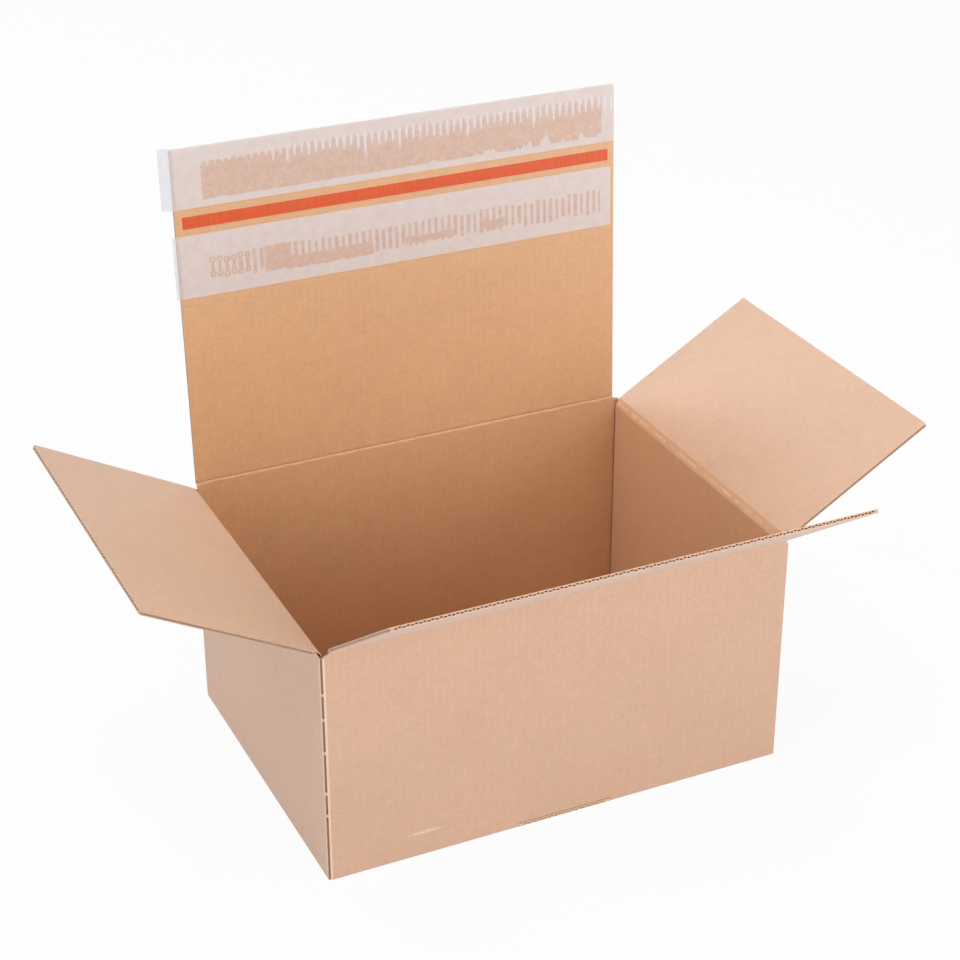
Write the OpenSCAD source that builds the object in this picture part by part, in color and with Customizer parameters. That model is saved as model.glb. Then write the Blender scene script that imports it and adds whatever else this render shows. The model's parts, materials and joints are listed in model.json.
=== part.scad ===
// Open shipping carton of thin corrugated board: four walls, a crash-lock bottom and four top flaps.
// The back flap is the lid. It carries two adhesive strips under release liners and a tear strip.
// Millimetres. X runs along the front, Y from front to back, Z up. The origin is the centre of
// the underside.

/* [Board] */
// Thickness of the corrugated board
board_t = 1.6; // [1.2:0.1:3]
// Thickness of each facing paper and of the wavy paper between them
paper_t = 0.2; // [0.15:0.05:0.3]
// Distance from one wave of the flute to the next
flute_pitch = 3.3; // [3:0.1:6]
// Width of the flat crest where the wavy paper is glued to a facing
flute_crest = 0.5; // [0.2:0.1:1]
// Thickness of the pressed lips above and below the hollows at a cut edge
edge_lip = 0.45; // [0.2:0.05:0.45]
// Thickness of the wavy paper where the cut has frayed it
edge_fray = 0.55; // [0.15:0.05:0.6]
// Depth of the open flute along the flaps' side edges
edge_groove = 0.6; // [0.2:0.1:1]
// Outer radius of the rounded folds
fold_r = 1.2; // [0.5:0.1:1.2]
// Radius of the groove along the inner side of the upright folds
fold_groove_r = 0.4; // [0.2:0.1:0.5]

/* [Walls] */
// Length inside, along the front
inner_l = 213; // [190:1:300]
// Depth inside, from front to back
inner_w = 153; // [120:1:220]
// Height of the side walls from the underside to their top crease
wall_h = 110; // [90:1:200]

/* [Flaps] */
// Length of the two side flaps, from crease to free edge
side_flap_l = 80; // [50:1:90]
// Length of the front flap, from crease to free edge
front_flap_l = 78; // [50:1:110]
// Distance from the closed lid's liner back to the outer face of the front wall
lid_setback = 0.8; // [0.4:0.1:5]
// Play between a side flap's edges and the walls that it closes between
side_flap_play = 0.3; // [0.2:0.1:1.5]
// Distance from the left corner to the front flap
front_inset_left = 3.6; // [1:0.1:6]
// Distance from the right corner to the front flap
front_inset_right = 0.8; // [0.4:0.1:4]
// Distance from the left corner to the lid
lid_inset_left = 1.5; // [0.6:0.1:4]
// Distance from the right corner to the lid
lid_inset_right = 3.4; // [0.6:0.1:4]
// Radius of the die-cut corners at the flaps' free edges
flap_corner_r = 1; // [0.4:0.1:8]

/* [Creases] */
// Clearance of the mitred board on each side of a crease line
crease_gap = 0.15; // [0.1:0.05:0.4]
// Step between flaps that close on each other
stack_gap = 0.05; // [0.05:0.05:0.5]
// Room under the closed lid, above the adhesive liners
lid_room = 0.2; // [0.1:0.05:1]
// Depth of the crushed lines on the underside of the bottom
crush_depth = 0.3; // [0.1:0.05:0.5]
// Width of the crushed lines
crush_w = 1.2; // [0.6:0.1:3]

/* [Angles from closed] */
// Front flap
front_open = 144.5; // [100:0.5:180]
// Left flap
left_open = 152; // [100:0.5:180]
// Right flap
right_open = 149; // [100:0.5:180]
// Lid
lid_open = 92.6; // [91:0.1:130]

/* [Corner slots] */
// Depth of the front left slot below the front crease
slot_front_left = 2.4; // [2:0.1:6]
// Depth of the front right slot below the front crease
slot_front_right = 1.8; // [1.7:0.1:6]
// Depth of the back left slot below the lid's crease
slot_back_left = 3.7; // [1.7:0.1:6]
// Depth of the back right slot below the lid's crease
slot_back_right = 1.9; // [1.7:0.1:6]

/* [Slit fold] */
// Width of the slit in the outer paper of the front left fold
slit_w = 1.1; // [0.6:0.1:2]
// Depth of the slit
slit_depth = 1.1; // [0.5:0.1:1.4]
// Heights of the small bridges that hold the slit together
nick_heights = [33.5, 44.5, 64.5, 80.5, 92.5];
// Height of one bridge
nick_h = 1.3; // [0.6:0.1:3]

/* [Bottom] */
// How far each bottom panel hooks past the middle
lock_reach = 14; // [6:1:30]
// Length of the slanted middle of the lock
lock_slant = 30; // [16:1:60]
// Gap between the two bottom panels at the lock
lock_gap = 0.8; // [0.4:0.1:2]
// Depth of the inner bottom panels, from the side wall to their free edge
inner_panel_l = 58; // [30:1:60]
// Width of the glue tab behind the front wall
tab_w = 30; // [15:1:45]
// How much the tab's ends slope in
tab_slope = 6; // [0:0.5:15]
// Distance from the bottom panels up to the tab
tab_end_gap = 1.5; // [0.5:0.1:10]
// Length of the slot in the front bottom crease
crease_slot_l = 44.5; // [20:0.5:80]
// Height of that slot
crease_slot_h = 1.9; // [1.7:0.1:3]
// Distance from the middle of the front to the middle of that slot
crease_slot_x = 2.2; // [-40:0.1:40]
// Distance from the front face back to the bottom panel's cut edge in that slot
crease_slot_back = 0.5; // [0.2:0.1:1]
// Length of the open flutes behind that slot
crease_slot_flute_l = 12; // [4:1:20]

/* [Strips on the lid] */
// Thickness of the adhesive
adhesive_t = 0.15; // [0.1:0.05:0.4]
// Thickness of a release liner
liner_t = 0.1; // [0.05:0.05:0.2]
// Width of the closing liner, at the lid's free edge
closing_liner_w = 27.3; // [24:0.1:40]
// How far the closing liner sticks out past the lid's left edge
closing_overhang = 5.2; // [1:0.1:15]
// How far it sticks out past the lid's free edge
closing_overhang_top = 1; // [0.2:0.1:2]
// How far it sticks out past the lid's right edge
closing_overhang_right = 0.6; // [0.2:0.1:0.6]
// Width of the tear strip
tear_w = 5.4; // [3:0.1:10]
// Distance from the tear strip's ends to the lid's side edges
tear_inset = 3.2; // [0:0.1:10]
// Distance from the closing liner to the tear strip
tear_gap = 3.6; // [1:0.1:10]
// Distance from the tear strip to the return liner
return_gap = 3; // [1:0.1:10]
// Width of the return liner
return_liner_w = 28.3; // [24:0.1:40]
// How far the return liner sticks out past the lid's left edge
return_overhang = 1.8; // [1:0.1:15]
// Angle at which the liners' loose ends spring back past the lid's edge
spring_back = 24; // [22:1:60]
// Distance from the return liner's right end to the lid's right edge
return_inset = 1.6; // [0:0.1:10]
// Distance from the lid's left edge to the left ends of both adhesives
adhesive_inset_left = 13.2; // [5:0.1:30]
// Distance from the lid's right edge to the right end of both adhesives
adhesive_inset_right = 6.6; // [5:0.1:30]
// Distance from the lid's free edge to the top of the closing adhesive's solid band
closing_band_top = 11; // [8:0.1:14]
// Distance from that solid band to the closing liner's lower edge
closing_band_gap = 3.4; // [2.5:0.1:6]
// Longest finger above the band
finger_l = 5.6; // [2:0.1:6]
// Distance from the return liner's upper edge to the top of the return adhesive
return_bead_top = 10.9; // [4:0.1:12]
// Height of the return adhesive's loops
return_bead_l = 10.2; // [6:0.1:11]
// Distance from one bead to the next
bead_pitch = 3.2; // [2.4:0.1:6]
// Width of one bead
bead_w = 1.3; // [0.8:0.1:1.6]

/* [Hidden] */
$fn = 48;

outer_l = inner_l + 2 * board_t;
outer_w = inner_w + 2 * board_t;
// Flaps close in layers: the sides first, the front over them, the lid over the front
side_crease_z = wall_h;
front_crease_z = side_crease_z + board_t + stack_gap;
lid_crease_z = front_crease_z + board_t + adhesive_t + liner_t + lid_room;
side_inset = board_t + side_flap_play;
lid_l = outer_w - lid_setback - closing_overhang_top;
// Flutes end where the crease has crushed them
flute_land = 2 * board_t;
hollow_h = board_t - 2 * edge_lip - paper_t;
floor_t = 2 * board_t;
// Glued board sinks into the board that carries it by half its thickness
glued_t = 1.5 * board_t;
past = 1;
sky = 2 * lid_crease_z;

// Distances from the lid's free edge to the strips
closing_liner_end = closing_liner_w - closing_overhang_top;
tear_from_edge = closing_liner_end + tear_gap;
return_from_edge = tear_from_edge + tear_w + return_gap;
// Ends of the lid across its crease, in the lid's own direction: its right end is the low one
lid_low = -outer_l / 2 + lid_inset_right;
lid_high = outer_l / 2 - lid_inset_left;
adhesive_low = lid_low + adhesive_inset_right;
adhesive_high = lid_high - adhesive_inset_left;

board_tan = [0.85, 0.68, 0.5];
tear_orange = [0.9, 0.36, 0.2];
glue_tan = [0.8, 0.66, 0.55];
liner_white = [0.9, 0.87, 0.84];

function arc_points(centre, radius, from, to, steps = 4) = [
    for (i = [0 : steps])
        let (a = from + (to - from) * i / steps)
        centre + radius * [cos(a), sin(a)]
];

// Uneven but repeatable value from 0 to 1 for the i-th bead
function uneven(i) = (sin(i * 137.5) + sin(i * 61.3 + 40) + 2) / 4;

// One hollow between the wavy paper and a facing, with its wide side at the outer face
module flute_hollow() {
    wide = flute_pitch / 2 - flute_crest / 2 - edge_fray;
    narrow = flute_crest / 2;
    polygon([
        [-wide, -edge_lip],
        [wide, -edge_lip],
        [narrow, -edge_lip - hollow_h],
        [-narrow, -edge_lip - hollow_h],
    ]);
}

// Row of hollows across a board's cut edge, wide side up and down in turn
module flute_row(width) {
    half_pitch = flute_pitch / 2;
    count = floor((width - flute_pitch) / half_pitch);
    for (i = [0 : count - 1])
        translate([(i - (count - 1) / 2) * half_pitch, 0])
            if (i % 2 == 0)
                flute_hollow();
            else
                translate([0, -board_t])
                    mirror([0, 1])
                        flute_hollow();
}

// Flap in its closed place: crease along X at the origin, free edge at +Y, outer face at Z = 0
module board_flap(low, high, length) {
    difference() {
        translate([0, 0, -board_t])
            linear_extrude(board_t)
                polygon(concat(
                    [[low, 0], [high, 0]],
                    arc_points([high - flap_corner_r, length - flap_corner_r], flap_corner_r, 0, 90),
                    arc_points([low + flap_corner_r, length - flap_corner_r], flap_corner_r, 90, 180)
                ));
        // Mitre at the crease
        translate([low - past, 0, 0])
            rotate([90, 0, 90])
                linear_extrude(high - low + 2 * past)
                    polygon([
                        [crease_gap - past, past],
                        [crease_gap + board_t + past, -board_t - past],
                        [-past, -board_t - past],
                        [-past, past],
                    ]);
        // Flute that is cut open along each side edge
        for (edge = [low, high])
            translate([edge - edge_groove, flute_land, -board_t / 2 - hollow_h / 2])
                cube([2 * edge_groove, length, hollow_h]);
        // Hollows of the flutes, open at the free edge
        translate([(low + high) / 2, length + past, 0])
            rotate([90, 0, 0])
                linear_extrude(length - flute_land + past)
                    flute_row(high - low);
    }
}

// Places a flap that is opened from its closed place at the crease of its wall
module at_crease(place, turn, open)
    translate(place)
        rotate([0, 0, turn])
            rotate([open, 0, 0])
                children();

module on_lid()
    at_crease([0, outer_w / 2, lid_crease_z], 180, lid_open)
        children();

// Space above a mitred wall top: outer face at X = 0, inside at -X, along Y
module above_crease(crease_z, width) {
    translate([0, width / 2, 0])
        rotate([90, 0, 0])
            linear_extrude(width)
                polygon([
                    [past, crease_z - crease_gap + past],
                    [-board_t - past, crease_z - crease_gap - board_t - past],
                    [-board_t - past, sky],
                    [past, sky],
                ]);
}

// Die-cut slot through a wall: round bottom at the origin, open above, along Z
module slot_cutter(radius) {
    cylinder(r = radius, h = 2 * (board_t + fold_r / 2), center = true);
    translate([-radius, 0, -board_t - fold_r / 2])
        cube([2 * radius, sky, 2 * (board_t + fold_r / 2)]);
}

// Slot between a side flap and a long flap, at the corner on side_x and side_y
module corner_slot(side_x, side_y, long_inset, long_crease_z, depth, through_side = true) {
    radius = (long_inset + side_inset) / 2;
    shift = (long_inset - side_inset) / 2;
    bottom_z = long_crease_z - depth + radius;
    translate([side_x * (outer_l / 2 - shift), side_y * outer_w / 2, bottom_z])
        rotate([90, 0, 0])
            slot_cutter(radius);
    if (through_side)
        translate([side_x * outer_l / 2, side_y * (outer_w / 2 + shift), bottom_z])
            rotate([90, 0, 90])
                slot_cutter(radius);
}

// What a round fold leaves out of a square corner at the origin, with the board at -X and -Y
module fold_corner(radius) {
    difference() {
        translate([-radius, -radius])
            square(radius + past);
        translate([-radius, -radius])
            circle(radius);
    }
}

// Outline of the folded sheet in plan: three round folds, and a square cut edge at the front right
module plan_outline() {
    tab_fold_r = min(fold_r, board_t - paper_t);
    difference() {
        square([outer_l, outer_w], center = true);
        for (side = [[-1, -1], [-1, 1], [1, 1]])
            translate([side.x * outer_l / 2, side.y * outer_w / 2])
                mirror([side.x < 0 ? 1 : 0, 0])
                    mirror([0, side.y < 0 ? 1 : 0])
                        fold_corner(fold_r);
        // The right wall's own fold, behind the cut edge of the front wall
        translate([outer_l / 2, -outer_w / 2 + board_t])
            intersection() {
                mirror([0, 1])
                    fold_corner(tab_fold_r);
                translate([-tab_fold_r, 0])
                    square([tab_fold_r + past, tab_fold_r]);
            }
    }
}

module walls() {
    linear_extrude(lid_crease_z)
        difference() {
            plan_outline();
            square([inner_l, inner_w], center = true);
            for (side = [[-1, -1], [-1, 1], [1, 1]])
                translate([side.x * inner_l / 2, side.y * inner_w / 2])
                    circle(fold_groove_r);
        }
    // Glue tab of the right wall, stuck to the inside of the front wall
    tab_low = floor_t + tab_end_gap;
    tab_high = front_crease_z - 2 * board_t;
    translate([0, -inner_w / 2 + board_t, 0])
        rotate([90, 0, 0])
            linear_extrude(glued_t)
                polygon([
                    [inner_l / 2 + board_t / 4, tab_low],
                    [inner_l / 2 - tab_w, tab_low + tab_slope],
                    [inner_l / 2 - tab_w, tab_high - tab_slope],
                    [inner_l / 2 + board_t / 4, tab_high],
                ]);
}

// Two outer panels that hook into each other, and two inner panels glued over their corners
module bottom_panels() {
    linear_extrude(board_t)
        difference() {
            plan_outline();
            lock_seam();
        }
    for (side = [0, 1])
        mirror([side, 0, 0])
            translate([0, 0, floor_t - glued_t])
                linear_extrude(glued_t)
                    polygon([
                        [inner_l / 2 + board_t / 2, -inner_w / 2],
                        [inner_l / 2, -inner_w / 2],
                        [inner_l / 2 - inner_panel_l, inner_panel_l - inner_w / 2],
                        [inner_l / 2 - inner_panel_l, inner_w / 2 - inner_panel_l],
                        [inner_l / 2, inner_w / 2],
                        [inner_l / 2 + board_t / 2, inner_w / 2],
                    ]);
}

// Gap between the two outer bottom panels
module lock_seam() {
    slope = 2 * lock_reach / lock_slant;
    half = lock_gap / 2;
    shift = half * (sqrt(1 + slope * slope) - 1) / slope;
    polygon([
        [-inner_l / 2, lock_reach + half],
        [shift - lock_slant / 2, lock_reach + half],
        [shift + lock_slant / 2, half - lock_reach],
        [inner_l / 2, half - lock_reach],
        [inner_l / 2, -half - lock_reach],
        [lock_slant / 2 - shift, -half - lock_reach],
        [-lock_slant / 2 - shift, lock_reach - half],
        [-inner_l / 2, lock_reach - half],
    ]);
}

// Round folds along the four bottom edges
module bottom_folds() {
    for (turn = [0, 180]) {
        rotate([0, 0, turn])
            translate([-outer_l / 2 - past, -outer_w / 2, 0])
                rotate([90, 0, 90])
                    linear_extrude(outer_l + 2 * past)
                        rotate(180)
                            fold_corner(fold_r);
        rotate([0, 0, turn])
            translate([outer_l / 2, outer_w / 2 + past, 0])
                rotate([90, 0, 0])
                    linear_extrude(outer_w + 2 * past)
                        mirror([0, 1])
                            fold_corner(fold_r);
    }
}

// Crushed lines on the underside, where the glued corners of the outer panels turn
module crush_lines() {
    for (side_x = [0, 1], side_y = [0, 1])
        mirror([side_x, 0, 0])
            mirror([0, side_y, 0])
                translate([inner_l / 2, inner_w / 2, 0])
                    rotate([0, 0, 180 + 45])
                        translate([2 * crush_w, -crush_w / 2, -past])
                            cube([inner_panel_l * sqrt(2) - 2 * crush_w, crush_w, past + crush_depth]);
}

// Slit in the outer paper of the front left fold, held by small bridges
module slit() {
    reach = fold_r * (sqrt(2) - 1) + slit_depth;
    difference() {
        translate([-outer_l / 2, -outer_w / 2, -past])
            rotate([0, 0, 45])
                linear_extrude(sky)
                    polygon([
                        [-past, -slit_w / 2],
                        [reach - slit_w / 2, -slit_w / 2],
                        [reach, -slit_w / 6],
                        [reach, slit_w / 6],
                        [reach - slit_w / 2, slit_w / 2],
                        [-past, slit_w / 2],
                    ]);
        for (z = nick_heights)
            translate([-outer_l / 2 - 2 * past, -outer_w / 2 - 2 * past, z - nick_h / 2])
                cube([2 * (past + board_t), 2 * (past + board_t), nick_h]);
    }
}

// Slot in the front bottom crease, with the fluted edge of the bottom panel in it
module crease_slot() {
    translate([crease_slot_x, -outer_w / 2, 0]) {
        translate([-crease_slot_l / 2, -past, -past])
            cube([crease_slot_l, past + crease_slot_back, crease_slot_h + past]);
        translate([-crease_slot_l / 2, -past, board_t])
            cube([crease_slot_l, 2 * past + board_t, crease_slot_h - board_t]);
        translate([0, crease_slot_flute_l, board_t])
            rotate([90, 0, 0])
                linear_extrude(crease_slot_flute_l + past)
                    flute_row(crease_slot_l);
    }
}

module carton() {
    color(board_tan)
        difference() {
            union() {
                walls();
                bottom_panels();
            }
            for (side = [1, -1])
                translate([side * outer_l / 2, 0, 0])
                    rotate([0, 0, side > 0 ? 0 : 180])
                        above_crease(side_crease_z, inner_w);
            translate([0, -outer_w / 2, 0])
                rotate([0, 0, -90])
                    above_crease(front_crease_z, outer_l + 2 * past);
            translate([0, outer_w / 2, 0])
                rotate([0, 0, 90])
                    above_crease(lid_crease_z, outer_l + 2 * past);
            corner_slot(-1, -1, front_inset_left, front_crease_z, slot_front_left);
            corner_slot(1, -1, front_inset_right, front_crease_z, slot_front_right, false);
            corner_slot(-1, 1, lid_inset_left, lid_crease_z, slot_back_left);
            corner_slot(1, 1, lid_inset_right, lid_crease_z, slot_back_right);
            bottom_folds();
            crush_lines();
            slit();
            crease_slot();
        }
}

module front_flap() {
    color(board_tan)
        at_crease([0, -outer_w / 2, front_crease_z], 0, front_open)
            board_flap(front_inset_left - outer_l / 2, outer_l / 2 - front_inset_right, front_flap_l);
}

module left_flap() {
    color(board_tan)
        at_crease([-outer_l / 2, 0, side_crease_z], -90, left_open)
            board_flap(side_inset - outer_w / 2, outer_w / 2 - side_inset, side_flap_l);
}

module right_flap() {
    color(board_tan)
        at_crease([outer_l / 2, 0, side_crease_z], 90, right_open)
            board_flap(side_inset - outer_w / 2, outer_w / 2 - side_inset, side_flap_l);
}

module lid() {
    color(board_tan)
        on_lid()
            board_flap(lid_low, lid_high, lid_l);
}

module tear_strip() {
    color(tear_orange)
        on_lid()
            translate([lid_low + tear_inset, lid_l - tear_from_edge - tear_w, -board_t - liner_t])
                cube([lid_high - lid_low - 2 * tear_inset, tear_w, liner_t]);
}

// Film on the adhesive, from low to the lid's left edge, where its loose end springs back
module release_liner(low, overhang, from_edge, width) {
    along = [cos(spring_back), sin(spring_back)];
    below = [sin(spring_back), -cos(spring_back)];
    translate([0, lid_l - from_edge, -board_t - adhesive_t])
        rotate([90, 0, 0])
            linear_extrude(width)
                polygon([
                    [low, 0],
                    [lid_high, 0],
                    [lid_high, 0] + overhang * along,
                    [lid_high, 0] + overhang * along + liner_t * below,
                    [lid_high + liner_t * tan(spring_back / 2), -liner_t],
                    [low, -liner_t],
                ]);
}

module closing_liner() {
    color(liner_white)
        on_lid()
            release_liner(lid_low - closing_overhang_right, closing_overhang,
                -closing_overhang_top, closing_liner_w);
}

module return_liner() {
    color(liner_white)
        on_lid()
            release_liner(lid_low + return_inset, return_overhang, return_from_edge, return_liner_w);
}

// Solid band of adhesive with uneven fingers on both long sides
module closing_adhesive() {
    beads = floor((adhesive_high - adhesive_low) / bead_pitch);
    closing_band_w = closing_liner_end - closing_band_gap - closing_band_top;
    band_low = lid_l - closing_band_top - closing_band_w;
    color(glue_tan)
        on_lid()
            translate([0, 0, -board_t - adhesive_t])
                linear_extrude(adhesive_t) {
                    translate([adhesive_low, band_low])
                        square([adhesive_high - adhesive_low, closing_band_w]);
                    for (i = [0 : beads - 1])
                        translate([adhesive_low + (i + 0.5) * bead_pitch, band_low - finger_l * uneven(i) / 3])
                            square([bead_w, closing_band_w + finger_l * (uneven(i) / 3 + 0.4 + 0.6 * uneven(i + 5))]);
                }
}

// One bead laid up and down in narrow loops
module return_adhesive() {
    beads = floor((adhesive_high - adhesive_low) / bead_pitch);
    bead_low = lid_l - return_from_edge - return_bead_top - return_bead_l;
    color(glue_tan)
        on_lid()
            translate([adhesive_low, bead_low, -board_t - adhesive_t])
                linear_extrude(adhesive_t)
                    for (i = [0 : beads - 1])
                        translate([i * bead_pitch, 0]) {
                            square([bead_w, return_bead_l]);
                            translate([0, i % 2 == 0 ? 0 : return_bead_l - bead_w])
                                square([i < beads - 1 ? bead_pitch + bead_w : bead_w, bead_w]);
                        }
}

carton();
front_flap();
left_flap();
right_flap();
lid();
tear_strip();
closing_adhesive();
return_adhesive();
closing_liner();
return_liner();
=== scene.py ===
"""Looks of an open shipping carton: kraft board, creases, adhesive, release liners and tear strip."""
import json
import math

import bpy
from bpy.props import FloatProperty, FloatVectorProperty, IntProperty, PointerProperty
from mathutils import Matrix, Vector


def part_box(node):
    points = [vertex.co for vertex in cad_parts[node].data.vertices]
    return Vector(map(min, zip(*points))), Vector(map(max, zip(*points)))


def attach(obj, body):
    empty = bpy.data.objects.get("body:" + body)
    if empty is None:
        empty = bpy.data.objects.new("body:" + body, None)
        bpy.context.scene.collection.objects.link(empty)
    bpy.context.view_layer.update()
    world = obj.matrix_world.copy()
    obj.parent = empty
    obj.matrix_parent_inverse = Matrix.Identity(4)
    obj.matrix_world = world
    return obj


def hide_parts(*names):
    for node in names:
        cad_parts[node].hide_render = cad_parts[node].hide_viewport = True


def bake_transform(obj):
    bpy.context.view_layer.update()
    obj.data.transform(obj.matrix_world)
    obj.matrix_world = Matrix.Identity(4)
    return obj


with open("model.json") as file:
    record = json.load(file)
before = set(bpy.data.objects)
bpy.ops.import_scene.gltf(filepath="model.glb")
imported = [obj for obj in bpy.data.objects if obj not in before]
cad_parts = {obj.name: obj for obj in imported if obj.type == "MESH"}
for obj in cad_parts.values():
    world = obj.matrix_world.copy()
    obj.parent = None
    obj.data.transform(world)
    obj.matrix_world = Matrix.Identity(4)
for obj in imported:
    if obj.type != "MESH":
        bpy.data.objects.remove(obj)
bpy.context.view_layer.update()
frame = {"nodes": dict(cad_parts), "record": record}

bl_info = {
    "name": "Open Shipping Carton",
    "version": (1, 0, 0),
    "blender": (4, 5, 0),
    "location": "View3D > Sidebar > Carton",
    "description": "Gives the packed carton its board, creases, adhesive, liners and studio",
    "category": "Object",
}

MM = 0.001
UP = Vector((0, 0, 1))
WHITE = (1, 1, 1, 1)
FLAPS = ("front_flap", "left_flap", "right_flap", "lid")
# Half the length and the width over the walls' outer faces
CAD_HALF = Vector((0.1081, 0.0781, 0))
# Share of painted sheen by which a flap's inner liner is as pale as the outer one
PAINTED_SHEEN = {"left_flap": 0.6, "right_flap": 0.8}

# The adhesives' patterns, in mm on the lid: across it from left to right, and down from its free edge
TOOTH_PITCH, STROKE_PITCH, FIRST_STROKE = 3.28, 3.2, -91.26
CLOSING_ENDS, RETURN_ENDS = (-93.5, 98.2), (-92.5, 97.5)
# Where strokes ran together: from, to, top and bottom
POOLS = (
    (-67.2, -55.2, 49.4, 61.2), (-56.0, -16.4, 55.8, 61.6),
    (-0.5, 23.0, 56.6, 60.0), (36.0, 48.4, 55.0, 59.6),
)
# How bpy.props shows lengths and colours
LENGTH = {"unit": "LENGTH", "precision": 5}
COLOUR = {"subtype": "COLOR", "size": 3}


def linear(code):
    """Turn an sRGB hex value into the linear colour that materials use."""
    channels = [int(code[i:i + 2], 16) / 255 for i in (1, 3, 5)]
    return tuple(c / 12.92 if c <= 0.04045 else ((c + 0.055) / 1.055) ** 2.4 for c in channels) + (1.0,)


def add(tree, kind, inputs=None, **settings):
    """Add a node to a tree, with its settings, and with its inputs set or linked."""
    node = tree.nodes.new(kind)
    for name, value in settings.items():
        setattr(node, name, value)
    for key, value in (inputs or {}).items():
        if isinstance(value, bpy.types.NodeSocket):
            tree.links.new(value, node.inputs[key])
        else:
            node.inputs[key].default_value = value
    return node


def new_object(name, data):
    """Put a new object into the scene."""
    thing = bpy.data.objects.new(name, data)
    bpy.context.scene.collection.objects.link(thing)
    return thing


def finish_solid(node, material):
    """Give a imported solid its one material."""
    slots = frame["nodes"][node].data.materials
    slots.clear()
    slots.append(material)


class Hinge:
    """Where a flap is joined to its wall, worked out from the frame's joint."""

    def __init__(self, flap, board_t, mitre):
        joint = next(j for j in frame["record"]["behaviour"]["joints"] if j["name"] == flap + "_fold")
        self.place = Vector(joint["pos_m"])
        self.axis = Vector(joint["axis"])
        self.inward = UP.cross(self.axis)
        self.open = math.radians(-joint["range_deg"][0])
        self.along = math.cos(self.open) * self.inward + math.sin(self.open) * UP
        self.inner = math.sin(self.open) * self.inward - math.cos(self.open) * UP
        self.wall_edge = self.place + board_t * self.inward - (board_t + mitre) * UP
        self.flap_edge = self.place + (board_t + mitre) * self.along + board_t * self.inner
        low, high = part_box(flap)
        self.low, self.high = sorted((low.dot(self.axis), high.dot(self.axis)))
        self.end = self.place.z + max((point.co - self.place).dot(self.along)
                                      for point in frame["nodes"][flap].data.vertices)


def grow(name, tree, values):
    """Run a node tree on an empty mesh and keep the result as a plain mesh object."""
    seed = new_object(name + "_seed", bpy.data.meshes.new(name + "_seed"))
    modifier = seed.modifiers.new("Nodes", "NODES")
    modifier.node_group = tree
    sockets = {s.name: s.identifier for s in tree.interface.items_tree if s.in_out == "INPUT"}
    for key, value in values.items():
        modifier[sockets[key]] = tuple(value) if isinstance(value, Vector) else value
    graph = bpy.context.evaluated_depsgraph_get()
    mesh = bpy.data.meshes.new_from_object(seed.evaluated_get(graph), depsgraph=graph)
    mesh.name = name
    bpy.data.objects.remove(seed)
    return new_object(name, mesh)


def new_tree(name, inputs):
    """Start a geometry tree with named inputs, and return it with its input and output nodes."""
    tree = bpy.data.node_groups.new(name, "GeometryNodeTree")
    for label, kind in inputs.items():
        tree.interface.new_socket(name=label, in_out="INPUT", socket_type="NodeSocket" + kind)
    tree.interface.new_socket(name="Geometry", in_out="OUTPUT", socket_type="NodeSocketGeometry")
    return tree, add(tree, "NodeGroupInput").outputs, add(tree, "NodeGroupOutput")


# Materials, in which a pattern's scale is its cells in a metre

def new_material(name):
    """Start a material with an empty tree."""
    material = bpy.data.materials.new(name)
    material.use_nodes = True
    material.node_tree.nodes.clear()
    return material, material.node_tree


def end_material(tree, relief, looks):
    """End a material's tree in its shader, with a relief in metres."""
    normal = add(tree, "ShaderNodeBump", {"Height": relief, "Distance": 1.0, "Strength": 1.0}).outputs[0]
    shader = add(tree, "ShaderNodeBsdfPrincipled", {**looks, "Normal": normal})
    add(tree, "ShaderNodeOutputMaterial", {0: shader.outputs[0]})


def panel_coordinates(tree, hinge):
    """Read along, up and depth in the flat sheet, for a wall or for a flap that is unfolded."""
    place = add(tree, "ShaderNodeTexCoord").outputs["Object"]
    if hinge:
        place = add(tree, "ShaderNodeVectorRotate", {
            "Vector": place, "Center": hinge.place, "Axis": hinge.axis, "Angle": math.pi / 2 - hinge.open,
        }, rotation_type="AXIS_ANGLE").outputs[0]
        offset = add(tree, "ShaderNodeVectorMath", {0: place, 1: hinge.place},
                     operation="SUBTRACT").outputs[0]
        depth = add(tree, "ShaderNodeVectorMath", {0: offset, 1: hinge.inward},
                    operation="DOT_PRODUCT").outputs["Value"]
        along = add(tree, "ShaderNodeVectorMath", {0: place, 1: hinge.axis},
                    operation="DOT_PRODUCT").outputs["Value"]
        height = add(tree, "ShaderNodeSeparateXYZ", {0: place}).outputs[2]
        return along, height, depth
    xyz = add(tree, "ShaderNodeSeparateXYZ", {0: place}).outputs
    facing = add(tree, "ShaderNodeSeparateXYZ", {
        0: add(tree, "ShaderNodeVectorMath", {
            0: add(tree, "ShaderNodeNewGeometry").outputs["True Normal"],
        }, operation="ABSOLUTE").outputs[0],
    }).outputs
    leaning = 0.7  # cosine of about 45 degrees
    side, flat = (add(tree, "ShaderNodeMath", {0: facing[axis], 1: leaning},
                      operation="GREATER_THAN").outputs[0]
                  for axis in (0, 2))
    along = add(tree, "ShaderNodeMix", {0: side, 2: xyz[0], 3: xyz[1]}, data_type="FLOAT").outputs[0]
    height = add(tree, "ShaderNodeMix", {0: flat, 2: xyz[2], 3: xyz[1]}, data_type="FLOAT").outputs[0]
    depth = xyz[2]
    for axis, half in ((0, CAD_HALF.x), (1, CAD_HALF.y)):
        reach = add(tree, "ShaderNodeMath", {0: xyz[axis]}, operation="ABSOLUTE").outputs[0]
        reach = add(tree, "ShaderNodeMath", {0: half, 1: reach}, operation="SUBTRACT").outputs[0]
        depth = add(tree, "ShaderNodeMath", {0: depth, 1: reach}, operation="MINIMUM").outputs[0]
    return along, height, depth


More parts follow.
